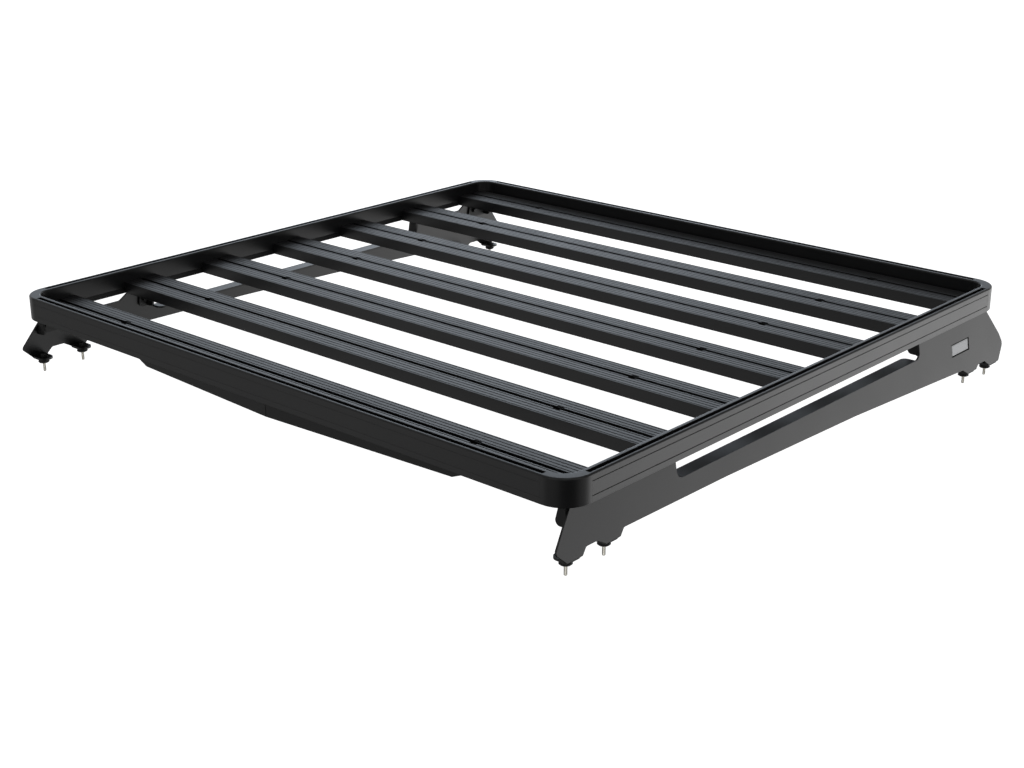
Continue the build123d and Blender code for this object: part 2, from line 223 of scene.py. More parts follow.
@dataclass(frozen=True)
class PowderCoat:
    """Satin powder coat: fine orange peel, faint clouding, a little dust of lighter grain."""

    name: str
    dark: Colour = (0.0045, 0.0046, 0.005)
    light: Colour = (0.0095, 0.0097, 0.0105)
    roughness: float = 0.36
    roughness_swing: float = 0.08
    grain_per_metre: float = 1500.0
    grain_share: float = 0.35
    grain_roughness: float = 0.06
    clouds_per_metre: float = 9.0
    peel_per_metre: float = 600.0
    peel_mm: float = 0.05
    peel_strength: float = 0.16

    def material(self) -> bpy.types.Material:
        """Build the material.

        Returns:
            The material, under the finish's name.
        """
        board = NodeBoard(bpy.data.materials.new(self.name))
        point = board.place()
        grain = board.noise(point, self.grain_per_metre, detail=1.0)
        clouds = board.noise(point, self.clouds_per_metre, detail=3.0)
        peel = board.noise(point, self.peel_per_metre, detail=2.0)
        tint = ((1 - self.grain_share) * clouds + self.grain_share * grain).clamped()
        rough = self.roughness - self.roughness_swing / 2 + self.roughness_swing * clouds
        return board.surface({
            "Base Color": board.blend(tint, self.dark, self.light),
            "Roughness": rough + self.grain_roughness * (grain - 0.5),
            "Normal": board.bump(peel, self.peel_strength, self.peel_mm),
        })


@dataclass(frozen=True)
class MouldedRubber:
    """Matt black rubber with a chalky bloom."""

    name: str
    dark: Colour = (0.008, 0.008, 0.008)
    bloom: Colour = (0.03, 0.03, 0.031)
    bloom_gain: float = 1.6
    roughness: float = 0.72
    roughness_swing: float = 0.2
    lumps_per_metre: float = 700.0
    broad_lump: float = 12.0
    lump_mm: float = 0.1
    lump_strength: float = 0.25

    def material(self) -> bpy.types.Material:
        """Build the material.

        Returns:
            The material, under the finish's name.
        """
        board = NodeBoard(bpy.data.materials.new(self.name))
        point = board.place()
        lumps = board.noise(point, self.lumps_per_metre, detail=3.0)
        broad = board.noise(point, self.lumps_per_metre / self.broad_lump, detail=2.0)
        share = (broad * lumps * self.bloom_gain).clamped()
        return board.surface({
            "Base Color": board.blend(share, self.dark, self.bloom),
            "Roughness": self.roughness + self.roughness_swing * (lumps - 0.5),
            "Normal": board.bump(lumps, self.lump_strength, self.lump_mm),
        })


@dataclass(frozen=True)
class PlatedSteel:
    """Turned and plated steel, with fine turning marks and a change of tone in the plating."""

    name: str
    pale: Colour = (0.82, 0.81, 0.77)
    deep: Colour = (0.58, 0.56, 0.51)
    tones_per_metre: float = 160.0
    roughness: float = 0.4
    roughness_swing: float = 0.18
    marks_per_metre: float = 1800.0
    mark_stretch: Corner = (1.0, 1.0, 6.0)
    mark_mm: float = 0.03
    mark_strength: float = 0.12

    def material(self) -> bpy.types.Material:
        """Build the material.

        Returns:
            The material, under the finish's name.
        """
        board = NodeBoard(bpy.data.materials.new(self.name))
        point = board.place()
        turning = board.stretched(point, self.mark_stretch)
        marks = board.noise(turning, self.marks_per_metre, detail=2.0)
        tone = board.noise(point, self.tones_per_metre, detail=2.0)
        return board.surface({
            "Base Color": board.blend(tone, self.deep, self.pale),
            "Metallic": 1.0,
            "Roughness": self.roughness + self.roughness_swing * (marks - 0.5),
            "Normal": board.bump(marks, self.mark_strength, self.mark_mm),
        })


@dataclass(frozen=True)
class BrushedPlate:
    """Aluminium sheet brushed along Y."""

    name: str
    pale: Colour = (0.3, 0.304, 0.308)
    deep: Colour = (0.175, 0.179, 0.187)
    roughness: float = 0.32
    roughness_swing: float = 0.24
    strokes_per_metre: float = 2600.0
    stroke_stretch: Corner = (1.0, 0.02, 1.0)
    stroke_mm: float = 0.02
    stroke_strength: float = 0.15

    def material(self) -> bpy.types.Material:
        """Build the material.

        Returns:
            The material, under the finish's name.
        """
        board = NodeBoard(bpy.data.materials.new(self.name))
        point = board.stretched(board.place(), self.stroke_stretch)
        strokes = board.noise(point, self.strokes_per_metre, detail=2.0)
        return board.surface({
            "Base Color": board.blend(strokes, self.deep, self.pale),
            "Metallic": 1.0,
            "Roughness": self.roughness + self.roughness_swing * (strokes - 0.5),
            "Normal": board.bump(strokes, self.stroke_strength, self.stroke_mm),
        })


class Shop:
    """Keeps the finishes and puts finished pieces into the scene."""

    def __init__(self, finishes: Iterable[Any]) -> None:
        """Make the material of each finish once."""
        self.materials = {finish.name: finish.material() for finish in finishes}
        self.pieces: dict[str, bpy.types.Object] = {}

    def hang(self, name: str, shape: Mesh, slot: str, node: str | None = None) -> None:
        """Turn a mesh into a piece of the rack.

        Args:
            name: the piece's name.
            shape: its mesh, in metres in the rack's frame; it is freed.
            slot: the record's material slot, which is also the finish's name.
            node: the CAD node that it stands for, if there is one.
        """
        bmesh.ops.recalc_face_normals(shape, faces=shape.faces)
        for face in shape.faces:
            face.smooth = True
        for edge in shape.edges:
            edge.smooth = len(edge.link_faces) == 2 and edge.calc_face_angle(0.0) < SMOOTH_BELOW
        mesh = bpy.data.meshes.new(name)
        shape.to_mesh(mesh)
        shape.free()
        piece = bpy.data.objects.new(name, mesh)
        bpy.context.scene.collection.objects.link(piece)
        mesh.materials.append(self.materials[slot])
        piece.modifiers.new("flats", "WEIGHTED_NORMAL").keep_sharp = True
        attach(piece, BODY)
        if node:
            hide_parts(node)
        LOG.info("%s: %d faces", name, len(mesh.polygons))
        self.pieces[name] = piece


def box_mm(node: str) -> tuple[list[float], list[float]]:
    """Lowest and highest corner of a CAD node, in millimetres."""
    low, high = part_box(node)
    return [value / MM for value in low], [value / MM for value in high]


def rounded(corners: Sequence[Corner], steps: int = 5) -> list[Point2]:
    """Closed outline with its corners rounded.

    Args:
        corners: x, y and radius of each corner, in order.
        steps: straight pieces in each rounded corner.

    Returns:
        The outline's points.
    """
    points: list[Point2] = []
    count = len(corners)
    for i, (x, y, radius) in enumerate(corners):
        here = Vector((x, y))
        if radius <= 0:
            points.append((x, y))
            continue
        before = (Vector(corners[i - 1][:2]) - here).normalized()
        after = (Vector(corners[(i + 1) % count][:2]) - here).normalized()
        half = before.angle(after) / 2
        reach = radius / math.tan(half)
        start = here + before * reach
        finish = here + after * reach
        centre = here + (before + after).normalized() * (radius / math.sin(half))
        first = start - centre
        sweep = first.angle_signed(finish - centre)
        for step in range(steps + 1):
            turn = Matrix.Rotation(-sweep * step / steps, 2)
            point = centre + turn @ first
            points.append((point.x, point.y))
    return points


def rectangle(half_x: float, half_y: float, radius: float) -> list[Point2]:
    """Rectangle about the origin with rounded corners."""
    corners = ((-half_x, -half_y), (half_x, -half_y), (half_x, half_y), (-half_x, half_y))
    return rounded([(x, y, radius) for x, y in corners])


def frame_of(origin: Sequence[float], across: Sequence[float], up: Sequence[float]) -> Matrix:
    """Matrix of a section's frame: X across, Y up and Z along.

    Args:
        origin: the frame's origin, in millimetres.
        across: direction of its X.
        up: direction of its Y.

    Returns:
        The matrix, in millimetres.
    """
    x = Vector(across).normalized()
    y = Vector(up).normalized()
    turn = Matrix((x, y, x.cross(y))).transposed().to_4x4()
    return Matrix.Translation(Vector(origin)) @ turn


def ring(outline: Iterable[Point2], place: Matrix, level: float = 0.0) -> list[Vector]:
    """Points of an outline at a level of its frame, in millimetres."""
    return [place @ Vector((x, y, level)) for x, y in outline]


def loft(rings: Iterable[Sequence[Vector]], capped: bool = True) -> Mesh:
    """Skin through rings of points, one after the other.

    Args:
        rings: the rings, in millimetres in the rack's frame; one may be a single point.
        capped: whether faces close the first and the last ring.

    Returns:
        The mesh, in metres.
    """
    shape = bmesh.new()
    made = [[shape.verts.new(point * MM) for point in points] for points in rings]
    for low, high in zip(made, made[1:]):
        for i in range(max(len(low), len(high))):
            j = i + 1
            corners = (low[i % len(low)], low[j % len(low)], high[j % len(high)], high[i % len(high)])
            shape.faces.new(list(dict.fromkeys(corners)))
    if capped:
        shape.faces.new(list(reversed(made[0])))
        shape.faces.new(made[-1])
    return shape


def prism(outline: Sequence[Point2], place: Matrix, length: float) -> Mesh:
    """Closed bar with one section all along.

    Args:
        outline: the section's points, in millimetres, in the place's X and Y.
        place: matrix from the section's frame, in millimetres, to the rack's.
        length: the bar's length along the place's Z, centred on its origin.

    Returns:
        The mesh, in metres.
    """
    shape = loft([ring(outline, place, level) for level in (-length / 2, length / 2)])
    shape.faces.ensure_lookup_table()
    bmesh.ops.triangulate(shape, faces=shape.faces[-2:])
    return shape


def turned(reach: Callable[[float], float], sides: int) -> list[Point2]:
    """Points round an axis, at a distance that may change with the angle."""
    angles = [2 * math.pi * k / sides for k in range(sides)]
    return [(reach(angle) * math.cos(angle), reach(angle) * math.sin(angle)) for angle in angles]


def lathe(profile: Sequence[Point2], place: Matrix, sides: int) -> Mesh:
    """Turned shape.

    Args:
        profile: radius and height of each point, in millimetres; the ends lie on the axis
            or the profile returns to its start.
        place: matrix from the turning axis's frame, in millimetres, to the rack's.
        sides: number of sides of each ring.

    Returns:
        The mesh, in metres.
    """
    rings = []
    for radius, height in profile:
        points = turned(lambda _: radius, sides if radius else 1)
        rings.append(ring(points, place, height))
    shape = loft(rings, capped=False)
    bmesh.ops.remove_doubles(shape, verts=shape.verts, dist=WELD)
    return shape


def polar(
    heights: Sequence[float],
    radius: Callable[[float, float], float],
    place: Matrix,
    sides: int,
) -> Mesh:
    """Closed shape round an axis whose radius may change with the angle.

    Args:
        heights: heights of its rings, in millimetres, from one end to the other.
        radius: gives the radius, in millimetres, for an angle and a height.
        place: matrix from the axis's frame, in millimetres, to the rack's.
        sides: number of points in each ring.

    Returns:
        The mesh, in metres.
    """
    rings = []
    for height in heights:
        points = turned(lambda angle: radius(angle, height), sides)
        rings.append(ring(points, place, height))
    return loft(rings)


def join(shapes: Iterable[Mesh]) -> Mesh:
    """Several meshes as one.

    Args:
        shapes: the meshes; they are freed.

    Returns:
        The joined mesh.
    """
    whole = bmesh.new()
    for shape in shapes:
        part = bpy.data.meshes.new("part")
        shape.to_mesh(part)
        shape.free()
        whole.from_mesh(part)
        bpy.data.meshes.remove(part)
    return whole


def bevel(shape: Mesh, edges: Iterable[bmesh.types.BMEdge], width_mm: float) -> None:
    """Round some edges of a mesh.

    Args:
        shape: the mesh.
        edges: the edges.
        width_mm: how far the rounding reaches from an edge.
    """
    bmesh.ops.bevel(
        shape,
        geom=list(edges),
        offset=width_mm * MM,
        offset_type="OFFSET",
        segments=BEVEL_SEGMENTS,
        profile=0.5,
        affect="EDGES",
        clamp_overlap=True,
    )


def softened(node: str, width_mm: float, bend_mm: float = 0.0) -> Mesh:
    """Copy of a CAD node's shape with its sharp edges rounded off.

    Args:
        node: the node's name.
        width_mm: how far the rounding reaches from the edge.
        bend_mm: how far it reaches on the long edges of faces that look down at 45 degrees.

    Returns:
        The softened mesh.
    """
    shape = bmesh.new()
    shape.from_mesh(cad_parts[node].data)
    bmesh.ops.remove_doubles(shape, verts=shape.verts, dist=WELD)
    bmesh.ops.dissolve_limit(shape, angle_limit=FLAT_WITHIN, verts=shape.verts, edges=shape.edges)
    if bend_mm:
        bends: list[bmesh.types.BMEdge] = []
        for face in shape.faces:
            if abs(face.normal.z + math.sqrt(0.5)) < SLANT_WITHIN and abs(face.normal.y) < SLANT_WITHIN:
                for edge in face.edges:
                    run = edge.verts[0].co - edge.verts[1].co
                    if abs(run.normalized().y) > ALONG_Y and edge not in bends:
                        bends.append(edge)
        bevel(shape, bends, bend_mm)
    paired = [edge for edge in shape.edges if len(edge.link_faces) == 2]
    bevel(shape, [edge for edge in paired if edge.calc_face_angle(0.0) > BEVEL_ABOVE], width_mm)
    return shape


def carved(shape: Mesh, tools: Iterable[Mesh]) -> Mesh:
    """A shape with other shapes cut out of it.

    Args:
        shape: the shape to cut; it is freed.
        tools: the shapes to take away; they are freed.

    Returns:
        What is left.
    """
    made = []
    for part in (shape, join(tools)):
        bmesh.ops.recalc_face_normals(part, faces=part.faces)
        mesh = bpy.data.meshes.new("cut")
        part.to_mesh(mesh)
        part.free()
        block = bpy.data.objects.new("cut", mesh)
        bpy.context.scene.collection.objects.link(block)
        made.append(block)
    cut = made[0].modifiers.new("cut", "BOOLEAN")
    cut.operation = "DIFFERENCE"
    cut.solver = "EXACT"
    cut.object = made[1]
    done = made[0].evaluated_get(bpy.context.evaluated_depsgraph_get())
    left = bmesh.new()
    left.from_mesh(done.to_mesh())
    done.to_mesh_clear()
    for block in made:
        mesh = block.data
        bpy.data.objects.remove(block)
        bpy.data.meshes.remove(mesh)
    return left


def rail_axes(side: Side) -> tuple[Vector, Vector]:
    """Directions out of a foot rail's leaning sheet and up along it.

    Args:
        side: left or right.

    Returns:
        The two unit vectors.
    """
    out = Vector((side.value * math.cos(RAIL_LEAN), 0.0, math.sin(RAIL_LEAN)))
    up = Vector((-side.value * math.sin(RAIL_LEAN), 0.0, math.cos(RAIL_LEAN)))
    return out, up


@dataclass(frozen=True)
class BoltChannel:
    """Undercut channel that takes bolt heads along an extrusion."""

    opening: float
    cavity: float
    depth: float
    lip: float
    mouth_radius: float = 0.5
    lip_radius: float = 0.3
    corner_radius: float = 0.8

    def corners(self, middle: float, level: float, up: int) -> list[Corner]:
        """Corners of the channel in an outline that runs counterclockwise.

        Args:
            middle: place of its centre line along the section.
            level: height of the face that it opens in.
            up: 1 for a channel that opens upwards, -1 for one that opens downwards.

        Returns:
            x, y and radius of each corner.
        """
        half = self.opening / 2
        room = self.cavity / 2
        lip = level - up * self.lip
        floor = lip - up * self.depth
        path = [
            (half, level, self.mouth_radius),
            (half, lip, self.lip_radius),
            (room, lip, self.corner_radius),
            (room, floor, self.corner_radius),
        ]
        far = [(-x, y, r) for x, y, r in reversed(path)]
        return [(middle + up * x, y, r) for x, y, r in path + far]


@dataclass
class Tray:
    """Sizes that the rim, the corners and the slats share."""

    width: float = 1425.0
    length: float = 1358.0
    middle_y: float = -17.25
    base: float = 152.5
    rim_height: float = 48.0
    rim_width: float = 22.0
    rim_edge: float = 1.5
    rim_crown: float = 3.0
    rim_inner_crown: float = 2.8
    corner_radius: float = 52.0
    corner_leg: float = 55.0
    slat_width: float = 81.0
    slat_height: float = 24.0
    slat_pitch: float = 202.0
    slat_count: int = 7

    @property
    def slat_length(self) -> float:
        """Length between the rim's inner faces."""
        return self.width - 2 * self.rim_width

    def slat_y(self, number: int) -> float:
        """Y of the centre line of a slat, by its number from 1 at the front."""
        return self.middle_y + (number - (self.slat_count + 1) / 2) * self.slat_pitch


@dataclass
class Rim:
    """Four straight lengths of one extrusion round the tray."""

    tray: Tray
    channel: BoltChannel = BoltChannel(8.5, 13.0, 7.2, 1.8)
    channel_setback: float = 10.0
    low_channel: BoltChannel = BoltChannel(6.5, 12.0, 6.0, 3.0)
    groove_width: float = 1.6
    groove_depth: float = 1.0
    groove_radius: float = 0.3
    groove_drop: float = 12.0
    end_groove_depth: float = 0.35
    foot_lip: float = 1.2
    foot_height: float = 11.6
    foot_depth: float = 3.6
    foot_ledge: float = 0.4
    foot_base_radius: float = 0.5
    foot_edge_radius: float = 0.4
    foot_root_radius: float = 0.3
    joint: float = 0.15

    def groove(self, height: float, depth: float) -> list[Corner]:
        """Corners of one fine groove in the outer face, going down.

        Args:
            height: height of its middle above the rim's base.
            depth: how deep it is.

        Returns:
            x, y and radius of each corner.
        """
        top = height + self.groove_width / 2
        bottom = height - self.groove_width / 2
        radius = min(self.groove_radius, depth / 3)
        return [(x, y, radius) for x, y in ((0.0, top), (depth, top), (depth, bottom), (0.0, bottom))]

    def foot(self) -> list[Corner]:
        """Corners of the inner face's foot, which slants back under a small ledge, going up.

        Returns:
            x, y and radius of each corner.
        """
        width = self.tray.rim_width
        return [
            (width, 0.0, self.foot_base_radius),
            (width, self.foot_lip, self.foot_edge_radius),
            (width - self.foot_depth, self.foot_height - self.foot_ledge, self.foot_root_radius),
            (width, self.foot_height, self.foot_edge_radius),
        ]

    def section(self, groove_depth: float) -> list[Point2]:
        """Outline of the extrusion: x inwards from its outer face, y up from its base.

        Args:
            groove_depth: depth of the fine grooves in its outer face.

        Returns:
            The outline's points.
        """
        tray = self.tray
        height = tray.rim_height
        corners = [(0.0, 0.0, tray.rim_edge)]
        corners += self.low_channel.corners(tray.rim_width / 2, 0.0, -1)
        corners += self.foot()
        corners += [(tray.rim_width, height, tray.rim_inner_crown)]
        corners += self.channel.corners(self.channel_setback, height, 1)
        corners += [(0.0, height, tray.rim_crown)]
        corners += self.groove(height - self.groove_drop, groove_depth)
        corners += self.groove(self.groove_drop, groove_depth)
        return rounded(corners)

    def build(self, shop: Shop) -> None:
        """Hang the four lengths.

        Args:
            shop: dresses and hangs them.
        """
        tray = self.tray
        taken = 2 * (tray.corner_leg + self.joint)
        outline = self.section(self.end_groove_depth)
        for end in End:
            y = tray.middle_y + end.value * tray.length / 2
            place = frame_of((0, y, tray.base), (0, -end.value, 0), UP)
            bar = prism(outline, place, tray.width - taken)
            shop.hang(f"rim_{end.word}", bar, "rim_coat", f"{end.word}_rim_rail")
        outline = self.section(self.groove_depth)
        for side in Side:
            x = side.value * tray.width / 2
            place = frame_of((x, tray.middle_y, tray.base), (-side.value, 0, 0), UP)
            bar = prism(outline, place, tray.length - taken)
            shop.hang(f"rim_{side.word}", bar, "rim_coat", f"{side.word}_rim_rail")


@dataclass
class Corners:
    """Four rounded castings that join the rim, each with a pocket for the end of a slat."""

    tray: Tray
    steps: int = 30
    pocket_gap: float = 0.2
    pocket_drop: float = 5.0

    def casting(self, side: Side, end: End) -> Mesh:
        """One casting: the rim's plain section taken round a quarter circle.

        Args:
            side: left or right.
            end: front or rear.

        Returns:
            The mesh, in metres.
        """
        tray = self.tray
        outline = rounded([
            (0.0, 0.0, tray.rim_edge),
            (tray.rim_width, 0.0, tray.rim_edge),
            (tray.rim_width, tray.rim_height, tray.rim_inner_crown),
            (0.0, tray.rim_height, tray.rim_crown),
        ])
        x = side.value * (tray.width / 2 - tray.corner_radius)
        y = tray.middle_y + end.value * (tray.length / 2 - tray.corner_radius)
        stub = tray.corner_leg - tray.corner_radius
        stations = [(0.0, x - side.value * stub, y)]
        stations += [(math.pi / 2 * k / self.steps, x, y) for k in range(self.steps + 1)]
        stations += [(math.pi / 2, x, y - end.value * stub)]
        rings = []
        for angle, centre_x, centre_y in stations:
            out = Vector((side.value * math.sin(angle), end.value * math.cos(angle), 0.0))
            face = Vector((centre_x, centre_y, tray.base)) + out * tray.corner_radius
            rings.append(ring(outline, frame_of(face, -out, UP)))
        return loft(rings)

    def pocket(self, end: End) -> Mesh:
        """Room for the first or the last slat.

        Args:
            end: front or rear.

        Returns:
            The mesh, in metres.
        """
        tray = self.tray
        half = tray.slat_width / 2 + self.pocket_gap
        top = tray.slat_height + self.pocket_gap
        low = -self.pocket_drop
        outline = [(-half, low), (half, low), (half, top), (-half, top)]
        y = tray.slat_y(1 if end is End.FRONT else tray.slat_count)
        place = frame_of((0, y, tray.base), (0, 1, 0), UP)
        return prism(outline, place, tray.slat_length + 2 * self.pocket_gap)

    def build(self, shop: Shop) -> None:
        """Hang the four castings.

        Args:
            shop: dresses and hangs them.
        """
        for end in End:
            for side in Side:
                shape = carved(self.casting(side, end), [self.pocket(end)])
                words = f"{end.word}_{side.word}"
                shop.hang(f"corner_{words}", shape, "corner_coat", f"{words}_corner")


@dataclass
class Deck:
    """Seven ribbed slats with bolt channels and a notch near each end."""

    tray: Tray
    channel: BoltChannel = BoltChannel(8.5, 15.0, 7.7, 1.8)
    edge: float = 1.0
    low_edge: float = 1.9
    rib_count: int = 4
    rib_start: float = 9.0
    rib_pitch: float = 9.1
    rib_width: float = 3.0
    rib_floor: float = 2.4
    rib_depth: float = 0.6
    rib_edge_radius: float = 0.25
    rib_floor_radius: float = 0.15
    notch_length: float = 16.0
    notch_radius: float = 2.5
    notch_depth: float = 1.7
    notch_clear: float = 1.5
    notch_from_rim: float = 230.0

    def rib(self, middle: float) -> list[Corner]:
        """Corners of one fine groove between ribs, going towards -x.

        Args:
            middle: place of its centre line.

        Returns:
            x, y and radius of each corner.
        """
        half = self.rib_width / 2
        floor = self.rib_floor / 2
        return [
            (middle + half, 0.0, self.rib_edge_radius),
            (middle + floor, -self.rib_depth, self.rib_floor_radius),
            (middle - floor, -self.rib_depth, self.rib_floor_radius),
            (middle - half, 0.0, self.rib_edge_radius),
        ]

    def section(self) -> list[Point2]:
        """Outline of a slat: x across it, y down from its top.

        Returns:
            The outline's points.
        """
        half = self.tray.slat_width / 2
        height = self.tray.slat_height
        places = [self.rib_start + n * self.rib_pitch for n in range(self.rib_count)]
        corners = [(-half, -height, self.low_edge)]
        corners += self.channel.corners(0.0, -height, -1)
        corners += [(half, -height, self.low_edge), (half, 0.0, self.edge)]
        for place in reversed(places):
            corners += self.rib(place)
        corners += self.channel.corners(0.0, 0.0, 1)
        for place in places:
            corners += self.rib(-place)
        corners += [(-half, 0.0, self.edge)]
        return rounded(corners, 4)

    def notch(self, side: Side, y: float) -> Mesh:
        """Room of a notch where bolt heads are let into the channel.

        Args:
            side: left or right end of the slat.
            y: the slat's centre line.

        Returns:
            The mesh, in metres.
        """
        outline = rectangle(self.notch_length / 2, self.channel.cavity / 2, self.notch_radius)
        x = side.value * (self.tray.slat_length / 2 - self.notch_from_rim)
        top = self.tray.base + self.tray.slat_height
        middle = top + (self.notch_clear - self.notch_depth) / 2
        place = frame_of((x, y, middle), (1, 0, 0), (0, 1, 0))
        return prism(outline, place, self.notch_clear + self.notch_depth)

    def build(self, shop: Shop) -> None:
        """Hang the seven slats.

        Args:
            shop: dresses and hangs them.
        """
        tray = self.tray
        outline = self.section()
        for number in range(1, tray.slat_count + 1):
            y = tray.slat_y(number)
            place = frame_of((0, y, tray.base + tray.slat_height), (0, 1, 0), UP)
            bar = prism(outline, place, tray.slat_length)
            bar = carved(bar, [self.notch(side, y) for side in Side])
            shop.hang(f"slat_bar_{number}", bar, "slat_coat", f"slat_{number}")


@dataclass
class SheetWork:
    """Bent and folded sheet pieces, with their cut edges broken."""

    rail_edge: float = 0.8
    rail_bend: float = 2.3
    bracket_edge: float = 0.6
    fairing_edge: float = 0.5
    fairing_sheet: float = 2.5
    fairing_sweep: float = 3.25
    splice_reach: float = 18.0
    splice_sheet: float = 2.0
    splice_short: float = 3.0
    brackets: tuple[str, ...] = ("front_end", "front_slat", "rear_slat", "rear_end")

    def splice(self) -> Mesh:
        """Strip behind the seam of the fairing, bent to the same shallow V.

        Returns:
            The mesh, in metres.
        """
        low, high = box_mm("right_fairing")
        top = high[2] - self.fairing_sheet
        bottom = low[2] + self.splice_short
        sweep = math.radians(self.fairing_sweep)
        middle = low[1] + self.fairing_sheet / math.cos(sweep)
        end = middle + self.splice_reach * math.tan(sweep)
        front = [(-self.splice_reach, end), (0.0, middle), (self.splice_reach, end)]
        back = [(x, y + self.splice_sheet) for x, y in reversed(front)]
        place = Matrix.Translation((0.0, 0.0, (top + bottom) / 2))
        return prism(front + back, place, top - bottom)

    def build(self, shop: Shop) -> None:
        """Hang the foot rails, the brackets, the fairing and the strip behind its seam.

        Args:
            shop: dresses and hangs them.
        """
        for side in Side:
            node = f"{side.word}_foot_rail"
            shape = softened(node, self.rail_edge, self.rail_bend)
            shop.hang(f"rail_{side.word}", shape, "sheet_coat", node)
            node = f"{side.word}_fairing"
            shape = softened(node, self.fairing_edge)
            shop.hang(f"fairing_sheet_{side.word}", shape, "fairing_coat", node)
            for word in self.brackets:
                node = f"{side.word}_{word}_bracket"
                shape = softened(node, self.bracket_edge)
                shop.hang(f"bracket_{side.word}_{word}", shape, "bracket_coat", node)
        shop.hang("fairing_splice", self.splice(), "fairing_coat")


@dataclass(frozen=True)
class HexHead:
    """Hexagon bolt head with a round flange under it."""

    across_flats: float
    height: float
    flange_radius: float
    flange_height: float = 1.4
    flange_edge: float = 0.3
    flange_wall: float = 0.6
    flange_slope: float = 0.7
    flange_rise: float = 0.2
    seat_share: float = 0.7
    crown_share: float = 0.94
    crown_degrees: float = 62.0
    crown_drops: tuple[float, ...] = (1.4, 1.1, 0.8, 0.5, 0.25, 0.0)
    sides: int = 48

    def radius(self, angle: float, height: float) -> float:
        """Radius of the head at an angle and a height above its seat.

        Args:
            angle: angle round the head.
            height: height above the seat.

        Returns:
            The radius, in millimetres.
        """
        flat = self.across_flats / 2
        turn = (angle + math.pi / 6) % (math.pi / 3) - math.pi / 6
        hexagon = flat / math.cos(turn)
        slope = math.tan(math.radians(self.crown_degrees))
        return min(hexagon, self.crown_share * flat + (self.height - height) * slope)

    def build(self, place: Matrix) -> Mesh:
        """Make the head.

        Args:
            place: its seat's frame, with Z out of the seat.

        Returns:
            The mesh, in metres.
        """
        rim = self.flange_radius
        thick = self.flange_height
        profile = [
            (0, 0),
            (rim - self.flange_edge, 0),
            (rim, self.flange_edge),
            (rim, self.flange_wall * thick),
            (rim - self.flange_slope, thick),
            (0, thick + self.flange_rise),
        ]
        heights = [self.seat_share * thick] + [self.height - drop for drop in self.crown_drops]
        hexagon = polar(heights, self.radius, place, self.sides)
        return join([lathe(profile, place, self.sides), hexagon])


@dataclass(frozen=True)
class Thread:
    """Rolled metric thread on a stud's free end."""

    radius: float = 2.98
    depth: float = 0.58
    pitch: float = 1.0
    rows_per_turn: int = 8
    sides: int = 24
    chamfer: float = 1.1
    chamfer_slope: float = 0.9
    flank_gain: float = 1.25
    root_flat: float = 0.1

    def build(self, place: Matrix, top: float, bottom: float) -> Mesh:
        """Make the threaded length.

        Args:
            place: frame of the stud, with Z up its axis.
            top: height where the thread starts.
            bottom: height of the stud's tip.

        Returns:
            The mesh, in metres.
        """
        count = int((top - bottom) / self.pitch * self.rows_per_turn)
        heights = [bottom + (top - bottom) * k / count for k in range(count + 1)]

        def radius(angle: float, height: float) -> float:
            """Radius of the thread's flank at an angle and a height.

            Args:
                angle: angle round the stud.
                height: height along it.

            Returns:
                The radius, in millimetres.
            """
            phase = (height / self.pitch - angle / (2 * math.pi)) % 1.0
            flank = self.flank_gain * (1.0 - abs(2.0 * phase - 1.0)) - self.root_flat
            ridge = min(1.0, max(0.0, flank))
            reach = self.radius - self.depth * (1.0 - ridge)
            return min(reach, self.radius - self.chamfer + self.chamfer_slope * (height - bottom))

        return polar(heights, radius, place, self.sides)


